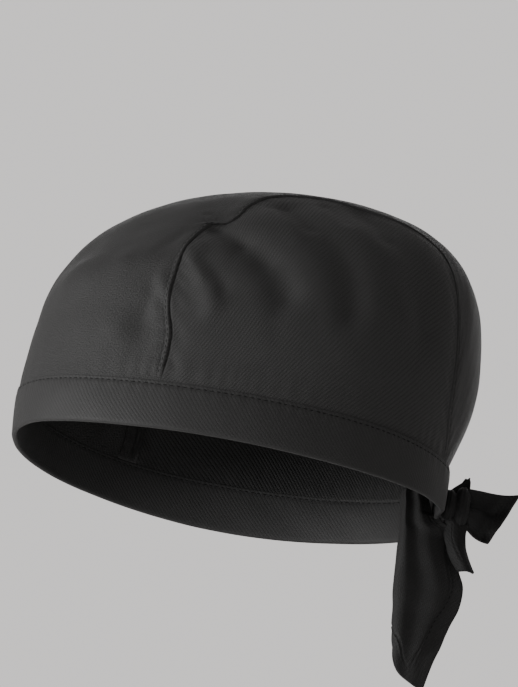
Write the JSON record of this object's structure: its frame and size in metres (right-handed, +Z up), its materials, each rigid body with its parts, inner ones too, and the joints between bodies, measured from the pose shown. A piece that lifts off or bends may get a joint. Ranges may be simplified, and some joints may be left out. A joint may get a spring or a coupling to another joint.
{
  "type": "chef skull cap",
  "caption": "Cloth cook's skull cap: a turned band, a panelled crown that leans back, a knotted tie at the back and a pointed tail below it.",
  "frame": {"origin": "middle of the head opening, in the plane of the band's rim", "axes": "+Z up as the cap is worn with its front raised, -Y to the front, +X to the wearer's left"},
  "size_m": [0.1706, 0.2473, 0.2408],
  "materials": {
    "cap_twill": "matt charcoal twill",
    "tie_twill": "matt charcoal twill, unlined"
  },
  "bodies": {
    "root": {"head_band": "cap_twill", "crown_centre_panel": "cap_twill", "crown_side_panel_left": "cap_twill", "crown_side_panel_right": "cap_twill", "tail": "cap_twill", "knot": "tie_twill", "tie_end_back": "tie_twill", "tie_end_hanging": "tie_twill", "knot_corner": "tie_twill"}
  },
  "joints": []
}
